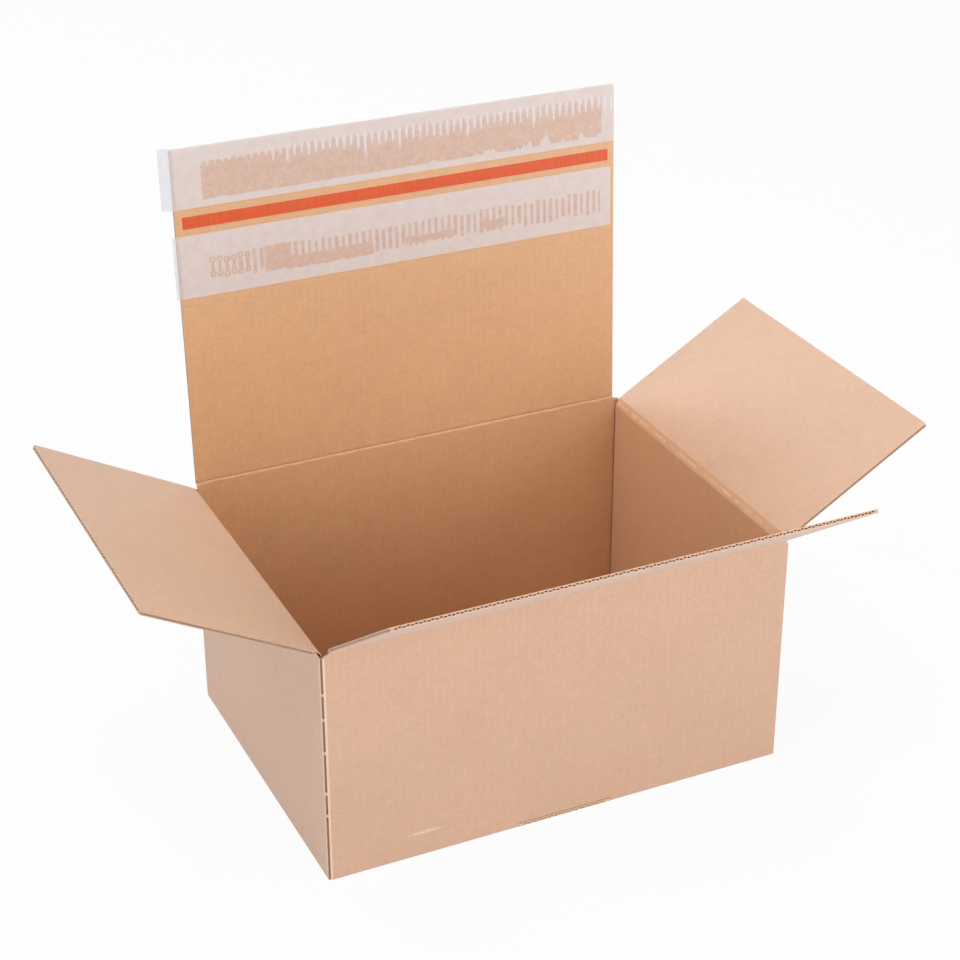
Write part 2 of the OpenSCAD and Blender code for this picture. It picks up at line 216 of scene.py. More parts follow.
def slit_wear_and_shade(tree, paper, depth):
    """Paper torn pale along the slit at the front left fold, with a painted highlight on its lip, and raw
    board darkened with painted shade inside it.
    """
    place = add(tree, "ShaderNodeTexCoord").outputs["Object"]
    corner = Vector((-CAD_HALF.x, -CAD_HALF.y, 0))
    off = add(tree, "ShaderNodeVectorMath", {0: place, 1: corner}, operation="SUBTRACT").outputs[0]
    off = add(tree, "ShaderNodeVectorMath", {0: off, 1: (1, 1, 0)}, operation="MULTIPLY").outputs[0]
    off = add(tree, "ShaderNodeVectorMath", {0: off}, operation="LENGTH").outputs["Value"]
    # The liner is torn within 2 mm of the fold's corner and painted pale there as a painted highlight, and
    # raw board shows under it within 2.5 mm, darkened with painted shade
    lip = add(tree, "ShaderNodeMapRange", {0: off, 1: 1.5 * MM, 2: 2.1 * MM, 3: 0.6, 4: 0}).outputs[0]
    near = add(tree, "ShaderNodeMath", {0: off, 1: 2.5 * MM}, operation="LESS_THAN").outputs[0]
    inside = add(tree, "ShaderNodeMapRange", {0: depth, 1: 0.35 * MM, 2: 0.5 * MM, 3: 0, 4: near}).outputs[0]
    # The pale lip is torn liner with a painted highlight; the dark inside is painted shade
    for share, code in ((lip, "#e8cbb0"), (inside, "#6b4128")):
        paper = add(tree, "ShaderNodeMix", {0: share, 6: paper, 7: linear(code)}, data_type="RGBA").outputs[2]
    return paper


def low_wear_and_shade(tree, paper):
    """Front bottom: raw golden board in the slot, painted shade lines along it, a faint scuff, and a lower
    fold greyed by painted shade and a painted floor reflection.
    """
    place = add(tree, "ShaderNodeTexCoord").outputs["Object"]
    x, y, z = add(tree, "ShaderNodeSeparateXYZ", {0: place}).outputs
    face_y, recess_y = -78.05 * MM, -77.2 * MM
    slot_x, slot_half, slot_top = 2.2 * MM, 22.4 * MM, 2.0 * MM
    face = add(tree, "ShaderNodeMath", {0: face_y, 1: y}, operation="GREATER_THAN").outputs[0]
    recess = add(tree, "ShaderNodeMath", {0: y, 1: recess_y}, operation="LESS_THAN").outputs[0]
    recess = add(tree, "ShaderNodeMath", {0: recess, 1: face}, operation="SUBTRACT").outputs[0]
    across = add(tree, "ShaderNodeMath", {0: x, 1: slot_x}, operation="SUBTRACT").outputs[0]
    across = add(tree, "ShaderNodeMath", {0: across}, operation="ABSOLUTE").outputs[0]
    slot = add(tree, "ShaderNodeMath", {0: across, 1: slot_half}, operation="LESS_THAN").outputs[0]
    inside = add(tree, "ShaderNodeMapRange", {
        0: z, 1: slot_top - 0.1 * MM, 2: slot_top, 3: slot, 4: 0}).outputs[0]
    inside = add(tree, "ShaderNodeMath", {0: inside, 1: recess}, operation="MULTIPLY").outputs[0]
    # Painted shade lines over the slot and along the panel's cut edge below it
    over, under = (
        add(tree, "ShaderNodeMath", {0: z, 1: level * MM, 2: half * MM}, operation="COMPARE").outputs[0]
        for level, half in ((2.15, 0.35), (0.2, 0.25))
    )
    rim = add(tree, "ShaderNodeMath", {0: over, 1: under}, operation="MAXIMUM").outputs[0]
    rim = add(tree, "ShaderNodeMath", {0: rim, 1: slot}, operation="MULTIPLY").outputs[0]
    rim = add(tree, "ShaderNodeMath", {0: rim, 1: 0.85}, operation="MULTIPLY").outputs[0]
    # Painted shade and a painted reflection of the floor grey the lower fold
    fold = add(tree, "ShaderNodeMapRange", {0: z, 1: 0.5 * MM, 2: 1.0 * MM, 3: 0.5, 4: 0}).outputs[0]
    # The scuff is 20 mm long and 2 mm high, rubbed off in flecks of about 1 mm
    scuff_place = (-64 * MM, 0, 12.1 * MM)
    spread = add(tree, "ShaderNodeVectorMath", {0: place, 1: scuff_place}, operation="SUBTRACT").outputs[0]
    spread = add(tree, "ShaderNodeVectorMath", {0: spread, 1: (100, 0, 900)}, operation="MULTIPLY").outputs[0]
    spread = add(tree, "ShaderNodeVectorMath", {0: spread}, operation="LENGTH").outputs["Value"]
    fleck = add(tree, "ShaderNodeTexNoise", {"Vector": place, "Scale": 900, "Detail": 2}).outputs[0]
    scuff = add(tree, "ShaderNodeMapRange", {0: spread, 1: 0.3, 2: 1.0, 3: fleck, 4: 0}).outputs[0]
    scuff = add(tree, "ShaderNodeMath", {0: scuff, 1: face}, operation="MULTIPLY").outputs[0]
    for share, code in ((fold, "#b5aaad"), (scuff, "#ecd0b4"), (inside, "#dfab6c"), (rim, "#70481f")):
        paper = add(tree, "ShaderNodeMix", {0: share, 6: paper, 7: linear(code)}, data_type="RGBA").outputs[2]
    return paper


def flute_shade(tree, paper, hinge, along, height, ply):
    """Painted shade darkens the raw paper inside the open flutes, a little way in from a flap's cut edges."""
    groove, pressed_lip = 0.65 * MM, 0.42 * MM
    far = add(tree, "ShaderNodeMath", {0: hinge.end, 1: height}, operation="SUBTRACT").outputs[0]
    for more, less in ((along, hinge.low + groove), (hinge.high - groove, along)):
        side = add(tree, "ShaderNodeMath", {0: more, 1: less}, operation="SUBTRACT").outputs[0]
        far = add(tree, "ShaderNodeMath", {0: far, 1: side}, operation="MINIMUM").outputs[0]
    deep = add(tree, "ShaderNodeMapRange", {0: far, 1: 0.05 * MM, 2: 0.2 * MM, 3: 0, 4: 1}).outputs[0]
    open_ply = add(tree, "ShaderNodeMath", {0: ply, 1: pressed_lip}, operation="GREATER_THAN").outputs[0]
    deep = add(tree, "ShaderNodeMath", {0: deep, 1: open_ply}, operation="MULTIPLY").outputs[0]
    # The dark colour is painted shade in the flutes' hollows
    return add(tree, "ShaderNodeMix", {0: deep, 6: paper, 7: linear("#4a2813")}, data_type="RGBA").outputs[2]


def kraft_board(name, hinge=None, strip=False, painted_sheen=0.0):
    """Brown kraft liner, rolled and uncoated: matt, faintly streaked, with the flutes showing through."""
    board = bpy.context.scene.carton_board
    material, tree = new_material(name)
    if strip:
        flat = add(tree, "ShaderNodeAttribute", attribute_name="panel", attribute_type="GEOMETRY")
        along, height, depth = add(tree, "ShaderNodeSeparateXYZ", {0: flat.outputs["Vector"]}).outputs
    else:
        along, height, depth = panel_coordinates(tree, hinge)
    place = add(tree, "ShaderNodeCombineXYZ", {0: along, 1: height, 2: depth}).outputs[0]

    # Wisps of fibre lie along the machine direction, across the flutes: about 4 mm by 0.7 mm, drawn
    # coarser than real ones, which are too fine to show
    fibre_place = add(tree, "ShaderNodeVectorMath", {0: place, 1: (260, 1500, 400)},
                      operation="MULTIPLY").outputs[0]
    fibre = add(tree, "ShaderNodeTexNoise", {"Vector": fibre_place, "Scale": 1, "Detail": 3}).outputs[0]
    # Cloudy formation of the paper, in patches of about 5 mm
    cloud = add(tree, "ShaderNodeTexNoise", {
        "Vector": place, "Scale": 190, "Detail": 3, "Roughness": 0.6}).outputs[0]
    # Uneven colour over a whole panel, in patches of about 40 mm
    patch = add(tree, "ShaderNodeTexNoise", {"Vector": place, "Scale": 25, "Detail": 2}).outputs[0]
    # Flutes show through the liner as a washboard of one ridge every flute pitch
    wave = add(tree, "ShaderNodeMath", {0: along, 1: 2 * math.pi / board.flute_pitch},
               operation="MULTIPLY").outputs[0]
    wave = add(tree, "ShaderNodeMath", {0: wave}, operation="SINE").outputs[0]
    wave = add(tree, "ShaderNodeMath", {0: wave, 1: cloud}, operation="MULTIPLY").outputs[0]
    # Dark and light specks of bark and starch, about 0.6 mm
    speck = add(tree, "ShaderNodeTexNoise", {"Vector": place, "Scale": 1700, "Detail": 1}).outputs[0]
    dark_speck = add(tree, "ShaderNodeMapRange", {0: speck, 1: 0.66, 2: 0.74, 3: 0, 4: 0.45}).outputs[0]
    pale_speck = add(tree, "ShaderNodeMapRange", {0: speck, 1: 0.33, 2: 0.25, 3: 0, 4: 0.4}).outputs[0]
    # Short dashes along the flutes, about 0.6 mm by 2.5 mm, where the liner has sunk between them
    dash_place = add(tree, "ShaderNodeVectorMath", {0: place, 1: (1800, 420, 400)},
                     operation="MULTIPLY").outputs[0]
    dash = add(tree, "ShaderNodeTexNoise", {"Vector": dash_place, "Scale": 1, "Detail": 2}).outputs[0]

    # A share of each, less what they add up to in the middle, so that the tone runs from dark to light
    tone = -0.85
    for layer, share in ((fibre, 1.7), (cloud, 0.9), (patch, 0.6), (wave, 0.11), (dash, 0.9), (speck, 2.2)):
        tone = add(tree, "ShaderNodeMath", {0: layer, 1: share, 2: tone}, operation="MULTIPLY_ADD").outputs[0]
    tone = add(tree, "ShaderNodeMath", {0: tone, 1: 1.8}, operation="SUBTRACT").outputs[0]
    outer, inner = (add(tree, "ShaderNodeMix", {
        0: tone, 6: tuple(dark) + (1,), 7: tuple(light) + (1,),
    }, data_type="RGBA").outputs[2] for dark, light in (
        (board.outer_dark, board.outer_light), (board.inner_dark, board.inner_light),
    ))
    # Painted sheen: the side flaps' inner liner is mixed paler than the lid's
    inner = add(tree, "ShaderNodeMix", {0: painted_sheen, 6: inner, 7: outer}, data_type="RGBA").outputs[2]
    inside = add(tree, "ShaderNodeMath", {0: depth, 1: board.board_t / 2},
                 operation="GREATER_THAN").outputs[0]
    paper = add(tree, "ShaderNodeMix", {0: inside, 6: outer, 7: inner}, data_type="RGBA").outputs[2]
    marks = [(dark_speck, "#7a5236"), (pale_speck, "#ecd0ad")]
    # A crease's crest is painted pale as rubbed wear and a painted highlight
    if strip:
        worn_and_highlit = add(tree, "ShaderNodeAttribute", attribute_name="worn_and_highlit",
                   attribute_type="GEOMETRY").outputs["Fac"]
        marks.append((worn_and_highlit, "#f0c39a"))
    for share, code in marks:
        paper = add(tree, "ShaderNodeMix", {0: share, 6: paper, 7: linear(code)}, data_type="RGBA").outputs[2]

    if not strip and not hinge:
        paper = slit_wear_and_shade(tree, paper, depth)
    # Cut edges show the wavy paper between the two liners, which is darker
    if not strip:
        ply = add(tree, "ShaderNodeMath", {0: depth, 1: board.board_t / 2}, operation="PINGPONG").outputs[0]
        core = add(tree, "ShaderNodeMapRange", {0: ply, 1: 0.2 * MM, 2: 0.26 * MM, 3: 0, 4: 1}).outputs[0]
        paper = add(tree, "ShaderNodeMix", {
            0: core, 6: paper, 7: tuple(board.flute_paper) + (1,),
        }, data_type="RGBA").outputs[2]
        if hinge:
            paper = flute_shade(tree, paper, hinge, along, height, ply)
        else:
            paper = low_wear_and_shade(tree, paper)

    relief = 0.0
    for layer, rise in ((fibre, 0.02 * MM), (wave, 0.03 * MM), (cloud, 0.05 * MM), (dash, 0.035 * MM)):
        relief = add(tree, "ShaderNodeMath", {0: layer, 1: rise, 2: relief},
                     operation="MULTIPLY_ADD").outputs[0]
    rough = add(tree, "ShaderNodeMapRange", {0: fibre, 1: 0.3, 2: 0.7, 3: 0.5, 4: 0.64}).outputs[0]
    end_material(tree, relief, {
        "Base Color": paper, "Roughness": rough, "IOR": 2.0, "Sheen Weight": 0.3, "Sheen Roughness": 0.8,
    })
    return material


def tear_tape():
    """Orange film tape, satin and stretched, with faint streaks of thinner colour."""
    material, tree = new_material("orange_film_tape")
    place = add(tree, "ShaderNodeTexCoord").outputs["Object"]
    # Streaks across the tape, about 1 mm wide, where it lies on the flutes
    stretched = add(tree, "ShaderNodeVectorMath", {0: place, 1: (900, 60, 60)},
                    operation="MULTIPLY").outputs[0]
    streak = add(tree, "ShaderNodeTexNoise", {"Vector": stretched, "Scale": 1, "Detail": 3}).outputs[0]
    tone = add(tree, "ShaderNodeMapRange", {0: streak, 1: 0.25, 2: 0.75, 3: 0, 4: 1}).outputs[0]
    colour = add(tree, "ShaderNodeMix", {0: tone, 6: linear("#cb4a1a"), 7: linear("#dc5b29")},
                 data_type="RGBA").outputs[2]
    relief = add(tree, "ShaderNodeMath", {0: streak, 1: 0.03 * MM}, operation="MULTIPLY").outputs[0]
    end_material(tree, relief, {"Base Color": colour, "Roughness": 0.42, "IOR": 1.49})
    return material


def hot_melt():
    """Clear pressure-sensitive hot melt: soft, wet-looking and slightly amber."""
    material, tree = new_material("clear_hot_melt")
    place = add(tree, "ShaderNodeTexCoord").outputs["Object"]
    # Blots of about 2.5 mm, where the melt lies thicker
    blot = add(tree, "ShaderNodeTexNoise", {"Vector": place, "Scale": 420, "Detail": 2}).outputs[0]
    colour = add(tree, "ShaderNodeMix", {0: blot, 6: linear("#c89262"), 7: linear("#d59f72")},
                 data_type="RGBA").outputs[2]
    relief = add(tree, "ShaderNodeMath", {0: blot, 1: 0.06 * MM}, operation="MULTIPLY").outputs[0]
    end_material(tree, relief, {"Base Color": colour, "Roughness": 0.35, "IOR": 1.48})
    return material


def release_film():
    """Siliconised polyethylene film: thin and hazy, clearer and mottled where the adhesive wets it."""
    material, tree = new_material("siliconised_release_film")
    place = add(tree, "ShaderNodeTexCoord").outputs["Object"]
    # Haze in patches of about 4 mm
    haze = add(tree, "ShaderNodeTexNoise", {"Vector": place, "Scale": 260, "Detail": 3}).outputs[0]
    # Marks of about 1.5 mm in the wet film, where the adhesive holds a little air
    mark = add(tree, "ShaderNodeTexNoise", {
        "Vector": place, "Scale": 620, "Detail": 3, "Distortion": 0.8}).outputs[0]
    wet, front, loose = (
        add(tree, "ShaderNodeAttribute", attribute_name=name, attribute_type="GEOMETRY").outputs["Fac"]
        for name in ("wet", "front", "loose")
    )
    # The front hides this share of what lies behind it, less where it is wet; the back hides little
    cover = add(tree, "ShaderNodeMapRange", {0: haze, 1: 0.3, 2: 0.7, 3: 0.55, 4: 0.61}).outputs[0]
    clear = add(tree, "ShaderNodeMapRange", {0: mark, 1: 0.45, 2: 0.75, 3: -0.28, 4: -0.17}).outputs[0]
    cover = add(tree, "ShaderNodeMath", {0: wet, 1: clear, 2: cover}, operation="MULTIPLY_ADD").outputs[0]
    side = add(tree, "ShaderNodeMapRange", {0: front, 1: 0, 2: 1, 3: 0.08, 4: 1}).outputs[0]
    cover = add(tree, "ShaderNodeMath", {0: cover, 1: side}, operation="MULTIPLY").outputs[0]
    # Where it hangs loose the film is painted greyer, as painted shade
    colour = add(tree, "ShaderNodeMix", {
        0: loose, 6: linear("#f0eff2"), 7: linear("#cccbd3"),
    }, data_type="RGBA").outputs[2]
    relief = add(tree, "ShaderNodeMath", {0: haze, 1: 0.04 * MM}, operation="MULTIPLY").outputs[0]
    end_material(tree, relief, {"Base Color": colour, "Roughness": 0.38, "IOR": 1.5, "Alpha": cover})
    return material


# Geometry trees

def cells(tree, size, step):
    """Whole number of mesh cells of about a step that fit a size."""
    count = add(tree, "ShaderNodeMath", {0: size, 1: step}, operation="DIVIDE").outputs[0]
    return add(tree, "FunctionNodeFloatToInt", {0: count}, rounding_mode="CEILING").outputs[0]


def moved(tree, given, place, moves):
    """Move a place along each named direction by its amount."""
    for direction, amount in moves.items():
        shift = add(tree, "ShaderNodeVectorMath", {0: given[direction], "Scale": amount},
                    operation="SCALE").outputs[0]
        place = add(tree, "ShaderNodeVectorMath", {0: place, 1: shift}).outputs[0]
    return place


def crease_tree():
    """Creased liner between a wall and its flap: a narrow band, grooved where the rule pressed it."""
    tree, given, out = new_tree("crease_strip", {
        "Low": "Float", "High": "Float", "Wall edge": "Vector", "Wall direction": "Vector",
        "Flap edge": "Vector", "Flap direction": "Vector", "Crease direction": "Vector", "Height": "Float",
        "Land": "Float", "Round": "Float", "Lift": "Float", "Thickness": "Float", "Side": "Float",
        "Groove depth": "Float", "Groove width": "Float", "Flat width": "Float", "Step": "Float",
        "Rows": "Int", "Depth": "Float", "Wear and highlight": "Float", "Material": "Material",
    })
    reach = add(tree, "ShaderNodeMath", {0: given["High"], 1: given["Low"]}, operation="SUBTRACT").outputs[0]
    middle = add(tree, "ShaderNodeMath", {0: given["High"], 1: given["Low"]}, operation="ADD").outputs[0]
    middle = add(tree, "ShaderNodeMath", {0: middle, 1: 0.5}, operation="MULTIPLY").outputs[0]
    wall_handle = moved(tree, given, given["Wall edge"], {"Wall direction": given["Round"]})
    flap_handle = add(tree, "ShaderNodeVectorMath", {
        0: given["Flap direction"], "Scale": given["Round"]}, operation="SCALE").outputs[0]
    flap_handle = add(tree, "ShaderNodeVectorMath", {0: given["Flap edge"], 1: flap_handle},
                      operation="SUBTRACT").outputs[0]
    profile = add(tree, "GeometryNodeCurvePrimitiveBezierSegment", {
        "Resolution": 32, "Start": given["Wall edge"], "Start Handle": wall_handle,
        "End Handle": flap_handle, "End": given["Flap edge"],
    }).outputs[0]
    arc = add(tree, "GeometryNodeCurveLength", {0: profile}).outputs[0]
    width = add(tree, "ShaderNodeMath", {0: given["Land"], 1: 2.0, 2: arc},
                operation="MULTIPLY_ADD").outputs[0]
    count = cells(tree, reach, given["Step"])
    grid = add(tree, "GeometryNodeMeshGrid", {0: reach, 1: width, 2: count, 3: given["Rows"]}).outputs[0]

    spot = add(tree, "ShaderNodeSeparateXYZ", {0: add(tree, "GeometryNodeInputPosition").outputs[0]}).outputs
    x = add(tree, "ShaderNodeMath", {0: spot[0], 1: middle}, operation="ADD").outputs[0]
    s = add(tree, "ShaderNodeMath", {0: arc, 1: 0.5, 2: spot[1]}, operation="MULTIPLY_ADD").outputs[0]
    on_arc = add(tree, "ShaderNodeClamp", {0: s, 1: 0.0, 2: arc}).outputs[0]
    before = add(tree, "ShaderNodeMath", {0: s, 1: 0.0}, operation="MINIMUM").outputs[0]
    after = add(tree, "ShaderNodeMath", {0: s, 1: arc}, operation="SUBTRACT").outputs[0]
    after = add(tree, "ShaderNodeMath", {0: after, 1: 0.0}, operation="MAXIMUM").outputs[0]
    sample = add(tree, "GeometryNodeSampleCurve", {"Curves": profile, "Length": on_arc},
                 mode="LENGTH").outputs
    normal = add(tree, "ShaderNodeVectorMath", {
        0: sample["Tangent"], 1: given["Crease direction"]}, operation="CROSS_PRODUCT").outputs[0]
    normal = add(tree, "ShaderNodeVectorMath", {0: normal, "Scale": given["Side"]},
                 operation="SCALE").outputs[0]
    place = moved(tree, given, sample["Position"], {
        "Wall direction": before, "Flap direction": after, "Crease direction": x,
    })

    # The groove wanders in waves of about 8 mm, and is pressed deeper on some flutes than on others
    wander = add(tree, "ShaderNodeTexNoise", {"W": x, "Scale": 130.0, "Detail": 2.0},
                 noise_dimensions="1D").outputs[0]
    press = add(tree, "ShaderNodeTexNoise", {"W": x, "Scale": 420.0, "Detail": 1.0},
                noise_dimensions="1D").outputs[0]
    off = add(tree, "ShaderNodeMath", {0: arc, 1: 0.5}, operation="MULTIPLY").outputs[0]
    off = add(tree, "ShaderNodeMath", {0: s, 1: off}, operation="SUBTRACT").outputs[0]
    drift = add(tree, "ShaderNodeMath", {0: wander, 1: 0.5}, operation="SUBTRACT").outputs[0]
    drift = add(tree, "ShaderNodeMath", {0: drift, 1: given["Groove width"]}, operation="MULTIPLY").outputs[0]
    off = add(tree, "ShaderNodeMath", {0: off, 1: drift}, operation="ADD").outputs[0]
    off = add(tree, "ShaderNodeMath", {0: off, 1: given["Groove width"]}, operation="DIVIDE").outputs[0]
    off = add(tree, "ShaderNodeMath", {0: off, 1: off}, operation="MULTIPLY").outputs[0]
    off = add(tree, "ShaderNodeMath", {0: off, 1: -4.0}, operation="MULTIPLY").outputs[0]
    groove = add(tree, "ShaderNodeMath", {0: off}, operation="EXPONENT").outputs[0]
    # The fold's crest is painted pale in places, as rubbed wear and a painted highlight
    rubbed_and_highlit = add(tree, "ShaderNodeMapRange", {
        0: wander, 1: 0.42, 2: 0.56, 3: 0.0, 4: given["Wear and highlight"]}).outputs[0]
    rubbed_and_highlit = add(tree, "ShaderNodeMath", {0: groove, 1: rubbed_and_highlit}, operation="MULTIPLY").outputs[0]
    groove = add(tree, "ShaderNodeMath", {0: groove, 1: given["Groove depth"]},
                 operation="MULTIPLY").outputs[0]
    press = add(tree, "ShaderNodeMath", {0: press, 1: 1.2, 2: 0.4}, operation="MULTIPLY_ADD").outputs[0]
    groove = add(tree, "ShaderNodeMath", {0: groove, 1: press}, operation="MULTIPLY").outputs[0]
    lift = add(tree, "ShaderNodeMath", {0: given["Lift"], 1: groove}, operation="SUBTRACT").outputs[0]
    lift = add(tree, "ShaderNodeVectorMath", {0: normal, "Scale": lift}, operation="SCALE").outputs[0]
    place = add(tree, "ShaderNodeVectorMath", {0: place, 1: lift}).outputs[0]

    # Place in the flat sheet, for the paper's pattern
    share = add(tree, "ShaderNodeMath", {0: on_arc, 1: arc}, operation="DIVIDE").outputs[0]
    share = add(tree, "ShaderNodeMath", {0: share, 1: 0.5}, operation="SUBTRACT").outputs[0]
    height = add(tree, "ShaderNodeMath", {0: share, 1: given["Flat width"], 2: given["Height"]},
                 operation="MULTIPLY_ADD").outputs[0]
    inner = add(tree, "ShaderNodeMath", {0: given["Side"], 1: 0.0}, operation="GREATER_THAN").outputs[0]
    depth = add(tree, "ShaderNodeMath", {0: inner, 1: given["Depth"]}, operation="MULTIPLY").outputs[0]
    height = add(tree, "ShaderNodeMath", {0: height, 1: before}, operation="ADD").outputs[0]
    height = add(tree, "ShaderNodeMath", {0: height, 1: after}, operation="ADD").outputs[0]
    panel = add(tree, "ShaderNodeCombineXYZ", {0: x, 1: height, 2: depth}).outputs[0]
    for label, value, kind in (("panel", panel, "FLOAT_VECTOR"), ("worn_and_highlit", rubbed_and_highlit, "FLOAT")):
        grid = add(tree, "GeometryNodeStoreNamedAttribute", {
            "Geometry": grid, "Name": label, "Value": value}, data_type=kind, domain="POINT").outputs[0]
    sheet = add(tree, "GeometryNodeSetPosition", {"Geometry": grid, "Position": place}).outputs[0]

    # The inner crease's seen side faces the other way
    sheet = add(tree, "GeometryNodeFlipFaces", {0: sheet, 1: inner}).outputs[0]
    return finish_tree(tree, given, out, close_sheet(tree, sheet, given["Thickness"]))


def band(tree, value, low, high, soft):
    """Rise softly to 1 between two limits of a value, and fall back to 0 outside them."""
    above = add(tree, "ShaderNodeMath", {0: value, 1: low}, operation="SUBTRACT").outputs[0]
    below = add(tree, "ShaderNodeMath", {0: high, 1: value}, operation="SUBTRACT").outputs[0]
    sides = [add(tree, "ShaderNodeMapRange", {0: side, 1: -soft, 2: soft, 3: 0.0, 4: 1.0},
                 interpolation_type="SMOOTHSTEP").outputs[0] for side in (above, below)]
    return add(tree, "ShaderNodeMath", {0: sides[0], 1: sides[1]}, operation="MULTIPLY").outputs[0]


def chance(tree, number, seed):
    """Fixed random value from 0 to 1 for a whole number."""
    return add(tree, "ShaderNodeTexWhiteNoise", {
        "Vector": add(tree, "ShaderNodeCombineXYZ", {0: number, 1: seed, 2: 0.0}).outputs[0],
    }, noise_dimensions="2D").outputs[0]


def closing_smear(tree, x, v):
    """Adhesive pressed to a solid smear, with teeth of air along its upper side. Returns laid, wet, air."""
    turn = add(tree, "ShaderNodeMath", {0: x, 1: TOOTH_PITCH}, operation="DIVIDE").outputs[0]
    tooth = add(tree, "ShaderNodeMath", {0: turn}, operation="FLOOR").outputs[0]
    part = add(tree, "ShaderNodeMath", {0: turn}, operation="FRACT").outputs[0]
    gap = band(tree, part, 0.32, 0.68, 0.1)
    luck, other = chance(tree, tooth, 3.0), chance(tree, tooth, 8.0)
    wander = add(tree, "ShaderNodeTexNoise", {"W": x, "Scale": 0.35, "Detail": 3.0},
                 noise_dimensions="1D").outputs[0]
    ragged = add(tree, "ShaderNodeTexNoise", {"W": x, "Scale": 0.11, "Detail": 3.0},
                 noise_dimensions="1D").outputs[0]
    # Air reaches further down in the middle and on the right than at the left end
    far = add(tree, "ShaderNodeMapRange", {0: x, 1: -72.0, 2: -40.0, 3: 0.0, 4: 1.0}).outputs[0]
    short = add(tree, "ShaderNodeMath", {0: luck, 1: 1.3, 2: 8.0}, operation="MULTIPLY_ADD").outputs[0]
    deep = add(tree, "ShaderNodeMath", {0: luck, 1: 2.8, 2: 10.2}, operation="MULTIPLY_ADD").outputs[0]
    deepest = add(tree, "ShaderNodeMath", {0: other, 1: 0.88}, operation="GREATER_THAN").outputs[0]
    deep = add(tree, "ShaderNodeMath", {0: deepest, 1: 4.0, 2: deep}, operation="MULTIPLY_ADD").outputs[0]
    low = add(tree, "ShaderNodeMix", {0: far, 2: short, 3: deep}, data_type="FLOAT").outputs[0]
    crown = add(tree, "ShaderNodeMath", {0: other, 1: 1.6, 2: 5.2}, operation="MULTIPLY_ADD").outputs[0]
    crown = add(tree, "ShaderNodeMix", {0: far, 2: 7.4, 3: crown}, data_type="FLOAT").outputs[0]
    upper = add(tree, "ShaderNodeMix", {0: gap, 2: crown, 3: low}, data_type="FLOAT").outputs[0]
    upper = add(tree, "ShaderNodeMath", {0: wander, 1: 1.2, 2: upper}, operation="MULTIPLY_ADD").outputs[0]
    upper = add(tree, "ShaderNodeMath", {0: upper, 1: 0.6}, operation="SUBTRACT").outputs[0]
    torn = add(tree, "ShaderNodeMath", {0: ragged, 1: 0.5}, operation="SUBTRACT").outputs[0]
    torn = add(tree, "ShaderNodeMath", {0: torn, 1: 0.0}, operation="MAXIMUM").outputs[0]
    right = add(tree, "ShaderNodeMapRange", {0: x, 1: 5.0, 2: 40.0, 3: 2.0, 4: 24.0}).outputs[0]
    torn = add(tree, "ShaderNodeMath", {0: torn, 1: right}, operation="MULTIPLY").outputs[0]
    lower = add(tree, "ShaderNodeMath", {0: 24.1, 1: torn}, operation="SUBTRACT").outputs[0]
    smear = add(tree, "ShaderNodeMath", {
        0: band(tree, v, upper, lower, 0.3), 1: band(tree, x, *CLOSING_ENDS, 0.4),
    }, operation="MULTIPLY").outputs[0]
    # Teeth are wet only in part, more and more towards their roots
    root = add(tree, "ShaderNodeMapRange", {0: v, 1: 7.0, 2: 14.0, 3: 0.55, 4: 1.0}).outputs[0]
    root = add(tree, "ShaderNodeMix", {0: far, 2: 1.0, 3: root}, data_type="FLOAT").outputs[0]
    air = add(tree, "ShaderNodeMath", {0: gap, 1: band(tree, v, 5.8, 13.0, 0.6)},
              operation="MULTIPLY").outputs[0]
    air = add(tree, "ShaderNodeMath", {0: air, 1: far}, operation="MULTIPLY").outputs[0]
    dry = add(tree, "ShaderNodeMath", {0: 1.0, 1: smear}, operation="SUBTRACT").outputs[0]
    air = add(tree, "ShaderNodeMath", {0: air, 1: dry}, operation="MULTIPLY").outputs[0]
    return smear, add(tree, "ShaderNodeMath", {0: smear, 1: root}, operation="MULTIPLY").outputs[0], air


